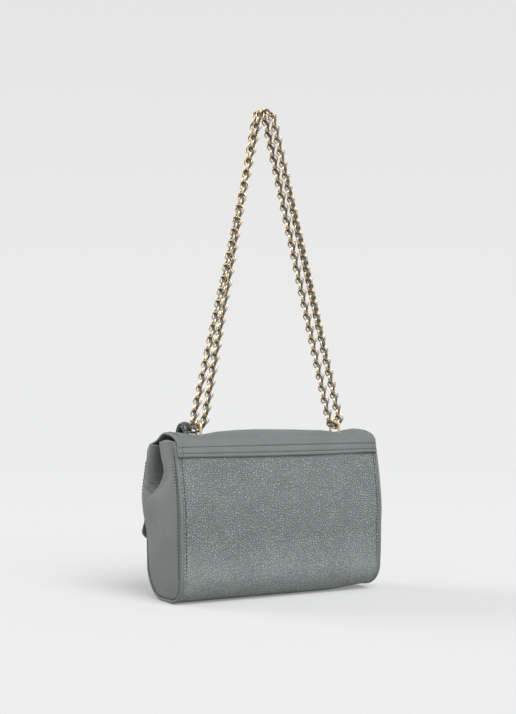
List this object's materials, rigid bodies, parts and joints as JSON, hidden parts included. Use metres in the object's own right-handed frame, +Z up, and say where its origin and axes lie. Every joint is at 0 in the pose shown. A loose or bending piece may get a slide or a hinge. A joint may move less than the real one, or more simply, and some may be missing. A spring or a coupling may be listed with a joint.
{
  "type": "chain shoulder bag",
  "caption": "Small structured leather flap shoulder bag with pleated gussets, a turn lock and a doubled leather-woven chain strap held upright.",
  "frame": {"origin": "middle of the flat base that the bag stands on", "axes": "+X along the bag's width towards the fob, +Y towards the plain back panel (the flap and lock face -Y), +Z up along the raised strap"},
  "size_m": [0.21, 0.0865, 0.4484],
  "materials": {
    "leather": "sage grey, fine pebble grain, semi-matt",
    "dark_leather": "dark sage grey, smooth, polished",
    "lining": "dark grey plain-woven cloth",
    "board": "plain fibre stiffener",
    "gold": "pale gold plating, polished"
  },
  "bodies": {
    "bag": {"back_panel": "leather", "front_panel": "leather", "gusset_right": "leather", "gusset_left": "leather", "piping_right": "leather", "piping_left": "leather", "base_board": "board", "lining_back": "lining", "lining_front": "lining", "lining_side_right": "lining", "lining_side_left": "lining", "facing_back": "leather", "facing_front": "leather", "slip_pocket": "lining", "flap_band": "leather", "keeper": "gold", "keeper_rivets": "gold", "keeper_backing": "gold"},
    "flap": {"flap": "leather", "flap_lining": "dark_leather", "lock_plate": "gold", "lock_screws": "gold", "lock_back_plate": "gold", "strap_loop_right": "gold", "strap_loop_left": "gold", "loop_plate_right": "gold", "loop_plate_left": "gold", "fob_strap": "dark_leather"},
    "knob": {"turn_knob": "gold", "lock_spindle": "gold", "lock_tongue": "gold"},
    "strap": {"chain_outer": "gold", "chain_inner": "gold", "chain_turns": "gold", "ribbon_outer": "dark_leather", "ribbon_inner": "dark_leather"},
    "tag": {"fob_tag": "dark_leather", "fob_stud": "gold"}
  },
  "joints": [
    {"name": "flap_hinge", "type": "hinge", "parent": "bag", "child": "flap", "pos_m": [0, 0.02505, 0.1417], "axis": [-1, 0, 0], "range_deg": [0, 120]},
    {"name": "strap_swing", "type": "hinge", "parent": "flap", "child": "strap", "pos_m": [0, 0.003, 0.1538], "axis": [-1, 0, 0], "range_deg": [-35, 60]},
    {"name": "lock_turn", "type": "hinge", "parent": "flap", "child": "knob", "pos_m": [0, -0.0455, 0.071], "axis": [0, -1, 0], "range_deg": [0, 90]},
    {"name": "tag_swing", "type": "hinge", "parent": "flap", "child": "tag", "pos_m": [0.079, -0.048, 0.1227], "axis": [-1, 0, 0], "range_deg": [0, 60]}
  ]
}
